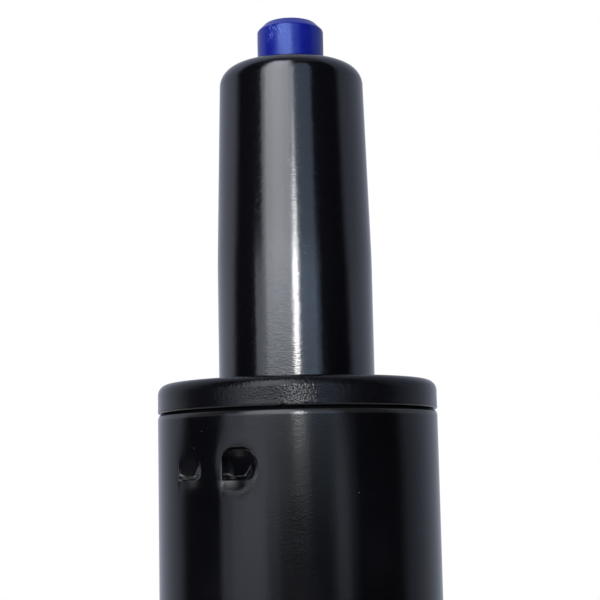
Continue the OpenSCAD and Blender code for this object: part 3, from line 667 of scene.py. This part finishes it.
# looks along +Y, raised by the pitch, then rolled about its own line of sight
def placeCamera():
    pitch, yaw, roll = (math.radians(lens[k]) for k in ("pitch", "yaw", "roll"))
    ahead = math.cos(pitch)
    forward = np.array([math.sin(yaw) * ahead, math.cos(yaw) * ahead, math.sin(pitch)])
    level = np.array([math.cos(yaw), -math.sin(yaw), 0])
    upright = np.cross(level, forward)
    right = math.cos(roll) * level + math.sin(roll) * upright
    up = -math.sin(roll) * level + math.cos(roll) * upright
    data = bpy.data.cameras.new("photoCamera")
    data.sensor_fit = "HORIZONTAL"
    data.sensor_width = lens["sensor"]
    data.lens = lens["sensor"] * lens["focalPx"] / lens["framePx"]
    data.clip_start = 0.01
    camera = bpy.data.objects.new("photoCamera", data)
    matrix = np.eye(4)
    matrix[:3, :3] = np.stack([right, up, -forward], axis=1)
    matrix[:3, 3] = (0, -lens["distance"] * mm, lens["height"] * mm)
    camera.matrix_world = Matrix(matrix.tolist())
    bpy.context.scene.collection.objects.link(camera)
    bpy.context.scene.camera = camera


placeCamera()
print("camera placed")

# Studio: upright panels seen from the object between two azimuths (0 in front, right positive) and two
# elevations, in degrees; the level is a panel's own brightness, where 1 is white. Panels that overlap
# add up to soft edges, and have different middles, since two in one plane would count as one
studio = {"aimZ": 0.26, "away": 1.3}
lamps = {
    "window": {"azimuth": (-48.5, 3), "elevation": (2.7, 56), "level": 1.7, "tint": "#f3f6ff"},
    "windowCore": {"azimuth": (-43, -4), "elevation": (6.5, 56), "level": 1.35, "tint": "#f3f6ff"},
    "windowWaist": {"azimuth": (-41.2, -5.4), "elevation": (6.5, 12.5), "level": 1.25, "tint": "#f3f6ff"},
    "windowHeart": {"azimuth": (-31.5, -14.5), "elevation": (6.5, 56), "level": 0.5, "tint": "#f6f8ff"},
    "windowTop": {"azimuth": (-41.6, -1.6), "elevation": (17, 57), "level": 1.2, "tint": "#f6f8ff"},
    "windowFoot": {"azimuth": (-43.5, -4), "elevation": (2.8, 6.5), "level": 1.85, "tint": "#e4edff"},
    "windowSill": {"azimuth": (-48, 3), "elevation": (-1, 2), "level": 0.15, "tint": "#fbfcff"},
    "windowSillCore": {"azimuth": (-40, -4), "elevation": (-1, 2), "level": 0.1, "tint": "#e4edff"},
    "sideWindow": {"azimuth": (-60, -48), "elevation": (2, 9.6), "level": 1.5, "tint": "#e4edff"},
    "sideSill": {"azimuth": (-60, -48), "elevation": (-0.5, 2), "level": 0.62, "tint": "#e4edff"},
    "lowWindow": {"azimuth": (-64, -26), "elevation": (-10, 0.1), "level": 0.91, "tint": "#e4edff"},
    "lowWindowMid": {"azimuth": (-54, -16), "elevation": (-9.6, 0), "level": 0.455, "tint": "#e4edff"},
    "lowWindowEnd": {"azimuth": (-46, -7), "elevation": (-4.4, 0), "level": 0.37, "tint": "#e4edff"},
    "lowWindowNear": {"azimuth": (-26, -3), "elevation": (-3.2, -0.6), "level": 0.75, "tint": "#e4edff"},
    "strip": {"azimuth": (-2.4, 4.6), "elevation": (3.7, 13.8), "level": 16, "tint": "#ffffff",
              "round": True},
    "stripFoot": {"azimuth": (-4.2, 5.2), "elevation": (3.9, 7.7), "level": 22, "tint": "#ffffff",
                  "round": True},
    "stripRest": {"azimuth": (-4, 8.5), "elevation": (-2.6, 3.0), "level": 0.85, "tint": "#ffffff"},
    "stripTip": {"azimuth": (0.2, 3.0), "elevation": (11, 27), "level": 1.7, "tint": "#ffffff",
                 "round": True},
    "fill": {"azimuth": (-2, 31), "elevation": (2, 46), "level": 0.85, "tint": "#c6deff"},
    "fillSill": {"azimuth": (-2, 31), "elevation": (-2, 2), "level": 0.35, "tint": "#cadcea"},
    "lowFill": {"azimuth": (2, 36.5), "elevation": (2, 10.5), "level": 0.86, "tint": "#c6deff"},
    "lowFillSill": {"azimuth": (2, 36.5), "elevation": (-4.5, 2), "level": 0.28, "tint": "#cadcea"},
    "outerFill": {"azimuth": (30, 46), "elevation": (-7, 1), "level": 0.25, "tint": "#d6e6ff"},
    "edgeFill": {"azimuth": (24, 41), "elevation": (-10, 0), "level": 0.16, "tint": "#e6efff"},
    "edgeFillCore": {"azimuth": (28.5, 39.5), "elevation": (-12, 0), "level": 0.32, "tint": "#e6efff"}}


# a panel's energy is its level times pi times its area
def addLamp(name, panel):
    low, high = (studio["away"] * math.tan(math.radians(e)) for e in panel["elevation"])
    left, right = panel["azimuth"]
    turn = math.radians((left + right) / 2)
    width = 2 * studio["away"] * math.tan(math.radians((right - left) / 2))
    rounded = panel.get("round", False)
    area = width * (high - low) * (math.pi / 4 if rounded else 1)
    data = bpy.data.lights.new(name, "AREA")
    data.shape = "ELLIPSE" if rounded else "RECTANGLE"
    data.size = width
    data.size_y = high - low
    data.energy = panel["level"] * math.pi * area
    data.color = linearColour(panel["tint"])[:3]
    out = np.array([math.sin(turn), -math.cos(turn), 0])
    side = np.array([math.cos(turn), math.sin(turn), 0])
    matrix = np.eye(4)
    matrix[:3, :3] = np.stack([side, np.cross(out, side), out], axis=1)
    matrix[:3, 3] = studio["away"] * out + (0, 0, studio["aimZ"] + (low + high) / 2)
    lamp = bpy.data.objects.new(name, data)
    lamp.matrix_world = Matrix(matrix.tolist())
    lamp.visible_camera = False
    bpy.context.scene.collection.objects.link(lamp)


for lampName, lampPanel in lamps.items():
    addLamp(lampName, lampPanel)
print("lamps", len(lamps))

# the room: pale paper behind the object that ends at its sides, brightest behind its left, a dark room
# in front, a dim ceiling and a soft light overhead; the camera sees plain white. Turns are in degrees
# from straight behind, spans are shares of a direction along a turn or upwards
room = {"paper": "#dfe4fb", "paperMirrored": "#9fbcff", "white": 0.61, "paperTurn": 7.5,
        "paperEnd": (0.04, 0.3), "paperSpread": 0.2, "spreadTo": 0.25,
        "lightTurn": -24, "lightSpan": (-0.3, 1.0), "paperLevel": (0.44, 0.82),
        "paperFall": (1.25, 0.85), "fallTo": 0.22,
        "paperFoot": (0.45, 0.78), "footSpan": (0.15, 0.75), "footRise": (0.02, 0.08),
        "front": 0.006, "ceiling": 0.2, "ceilingSpan": (0.75, 0.95),
        "overTurn": -22, "overSpan": (0.9, 0.95), "overFrom": (0.8, 0.84), "overTo": (0.885, 0.915),
        "overLevel": 4.2}


# how far a direction points along a level axis turned by an angle in degrees from straight behind
def alongTurned(tree, direction, degrees):
    turn = math.radians(degrees)
    return addNode(tree, "ShaderNodeVectorMath", {"operation": "DOT_PRODUCT"},
                   i0=[direction, (math.sin(turn), math.cos(turn), 0)])


def buildRoom():
    world = bpy.data.worlds.new("paperRoom")
    bpy.context.scene.world = world
    world.use_nodes = True
    tree = world.node_tree
    tree.nodes.clear()
    way = addNode(tree, "ShaderNodeTexCoord").outputs["Generated"]
    flat = addNode(tree, "ShaderNodeVectorMath", multiply, i0=[way, (1, 1, 0)])
    level = addNode(tree, "ShaderNodeVectorMath", {"operation": "NORMALIZE"}, i0=flat)
    above = addNode(tree, "ShaderNodeSeparateXYZ", Vector=way).outputs["Z"]
    # the paper: wider above, brighter on the lit side, fading upwards and at its foot
    spread = addNode(tree, "ShaderNodeMapRange", Value=above,
                     i1=[0, room["spreadTo"], 0, room["paperSpread"]])
    towardPaper = alongTurned(tree, level, room["paperTurn"])
    behind = addNode(tree, "ShaderNodeMath", {"operation": "ADD"}, i0=[spread, towardPaper])
    end = addNode(tree, "ShaderNodeMapRange", smoothStep, Value=behind, i1=[*room["paperEnd"], 0, 1])
    towardLight = alongTurned(tree, level, room["lightTurn"])
    rise = addNode(tree, "ShaderNodeMapRange", Value=towardLight,
                   i1=[*room["lightSpan"], *room["paperLevel"]])
    sheet = addNode(tree, "ShaderNodeMath", multiply, i0=[end, rise])
    fall = addNode(tree, "ShaderNodeMapRange", Value=above, i1=[0, room["fallTo"], *room["paperFall"]])
    under = addNode(tree, "ShaderNodeMapRange", Value=behind, i1=[*room["footSpan"], *room["paperFoot"]])
    foot = addNode(tree, "ShaderNodeMapRange", Value=above, i1=[*room["footRise"], under, 1])
    fade = addNode(tree, "ShaderNodeMath", multiply, i0=[fall, foot])
    paper = addNode(tree, "ShaderNodeMath", multiply, i0=[sheet, fade])
    # mirror images show the white too, as far as the paper reaches, and less of the paper's own light
    path = addNode(tree, "ShaderNodeLightPath")
    mirrored = addNode(tree, "ShaderNodeMath", greater,
                       i0=[path.outputs["Is Glossy Ray"], path.outputs["Is Transmission Ray"]])
    onPaper = addNode(tree, "ShaderNodeMath", multiply, i0=[mirrored, end])
    tone = addNode(tree, "ShaderNodeMix", twoColours, i0=onPaper, i6=[room["paper"], room["paperMirrored"]])
    whiteShare = addNode(tree, "ShaderNodeMapRange", Value=mirrored, i1=[0, 1, 0, room["white"]])
    white = addNode(tree, "ShaderNodeMath", multiply, i0=[paper, whiteShare])
    share = addNode(tree, "ShaderNodeMath", greater, i0=[path.outputs["Is Camera Ray"], white])
    ownShare = addNode(tree, "ShaderNodeMapRange", Value=mirrored, i1=[0, 1, 1, room["white"]])
    glow = addNode(tree, "ShaderNodeMath", multiply, i0=[paper, ownShare])
    # dark in front, dim overhead
    ceiling = addNode(tree, "ShaderNodeMapRange", smoothStep, Value=above,
                      i1=[*room["ceilingSpan"], room["front"], room["ceiling"]])
    dim = addNode(tree, "ShaderNodeMath", greater, i0=[glow, ceiling])
    # soft light overhead, in front and to the left
    towardOver = alongTurned(tree, level, 180 - room["overTurn"])
    sector = addNode(tree, "ShaderNodeMapRange", Value=towardOver,
                     i1=[*room["overSpan"], 0, room["overLevel"]])
    fromBelow = addNode(tree, "ShaderNodeMapRange", Value=above, i1=[*room["overFrom"], 0, 1])
    toAbove = addNode(tree, "ShaderNodeMapRange", Value=above, i1=[*room["overTo"], 1, 0])
    lower = addNode(tree, "ShaderNodeMath", multiply, i0=[sector, fromBelow])
    over = addNode(tree, "ShaderNodeMath", multiply, i0=[lower, toAbove])
    lit = addNode(tree, "ShaderNodeMath", greater, i0=[dim, over])
    around = addNode(tree, "ShaderNodeBackground", Color=tone, Strength=lit)
    seen = addNode(tree, "ShaderNodeBackground", Color=(1, 1, 1, 1), Strength=1.0)
    both = addNode(tree, "ShaderNodeMixShader", i0=[share, around, seen])
    addNode(tree, "ShaderNodeOutputWorld", Surface=both)


buildRoom()
print("room built")

# floor: a flat disc of rings under the object
floor = {"radius": 1200.0, "innerRing": 20.0, "rings": 12, "drop": 0.02, "tone": "#ece8df",
         "toneTwo": "#f1eee6", "pulpMm": 0.8, "rough": (0.8, 0.95), "pulpDepth": 0.01,
         "fade": (200.0, 1000.0), "white": (0.3, 1.0)}


# pale pulp paper that keeps the object's shadow near by and runs out to plain white,
# in mirror images too
def pulpPaper():
    material, tree = newMaterial("pulpPaper")
    pulp = grain(tree, floor["pulpMm"], detail=3.0)
    mottle = addNode(tree, "ShaderNodeMapRange", Value=pulp, i1=[*noiseMiddle, 0, 1])
    tone = addNode(tree, "ShaderNodeMix", twoColours, i0=mottle, i6=[floor["tone"], floor["toneTwo"]])
    rough = addNode(tree, "ShaderNodeMapRange", Value=pulp, i1=[*noiseMiddle, *floor["rough"]])
    fibres = addNode(tree, "ShaderNodeBump", Height=pulp, Distance=floor["pulpDepth"] * mm)
    paper = addNode(tree, "ShaderNodeBsdfPrincipled", Base_Color=tone, Roughness=rough, Normal=fibres)
    coords = addNode(tree, "ShaderNodeTexCoord")
    away = addNode(tree, "ShaderNodeVectorMath", {"operation": "LENGTH"}, i0=coords.outputs["Object"])
    reach = [v * mm for v in floor["fade"]]
    white = addNode(tree, "ShaderNodeMapRange", Value=away, i1=[*reach, *floor["white"]])
    path = addNode(tree, "ShaderNodeLightPath")
    mirrored = addNode(tree, "ShaderNodeMath", greater,
                       i0=[path.outputs["Is Glossy Ray"], path.outputs["Is Transmission Ray"]])
    seen = addNode(tree, "ShaderNodeMath", greater, i0=[path.outputs["Is Camera Ray"], mirrored])
    share = addNode(tree, "ShaderNodeMath", multiply, i0=[white, seen])
    plain = addNode(tree, "ShaderNodeEmission", Color=(1, 1, 1, 1), Strength=1.0)
    both = addNode(tree, "ShaderNodeMixShader", i0=[share, paper, plain])
    addNode(tree, "ShaderNodeOutputMaterial", Surface=both)
    return material


# rings that widen outwards, from a pole under the object
def paperFloor():
    radii = np.r_[0, np.geomspace(floor["innerRing"], floor["radius"], floor["rings"])]
    section = np.stack([radii, np.full(len(radii), -floor["drop"])], axis=1)
    piece = turnedPiece("paperFloor", section[::-1], 96, False)
    piece.data.materials.append(pulpPaper())


paperFloor()
bpy.context.scene.view_settings.view_transform = "Standard"
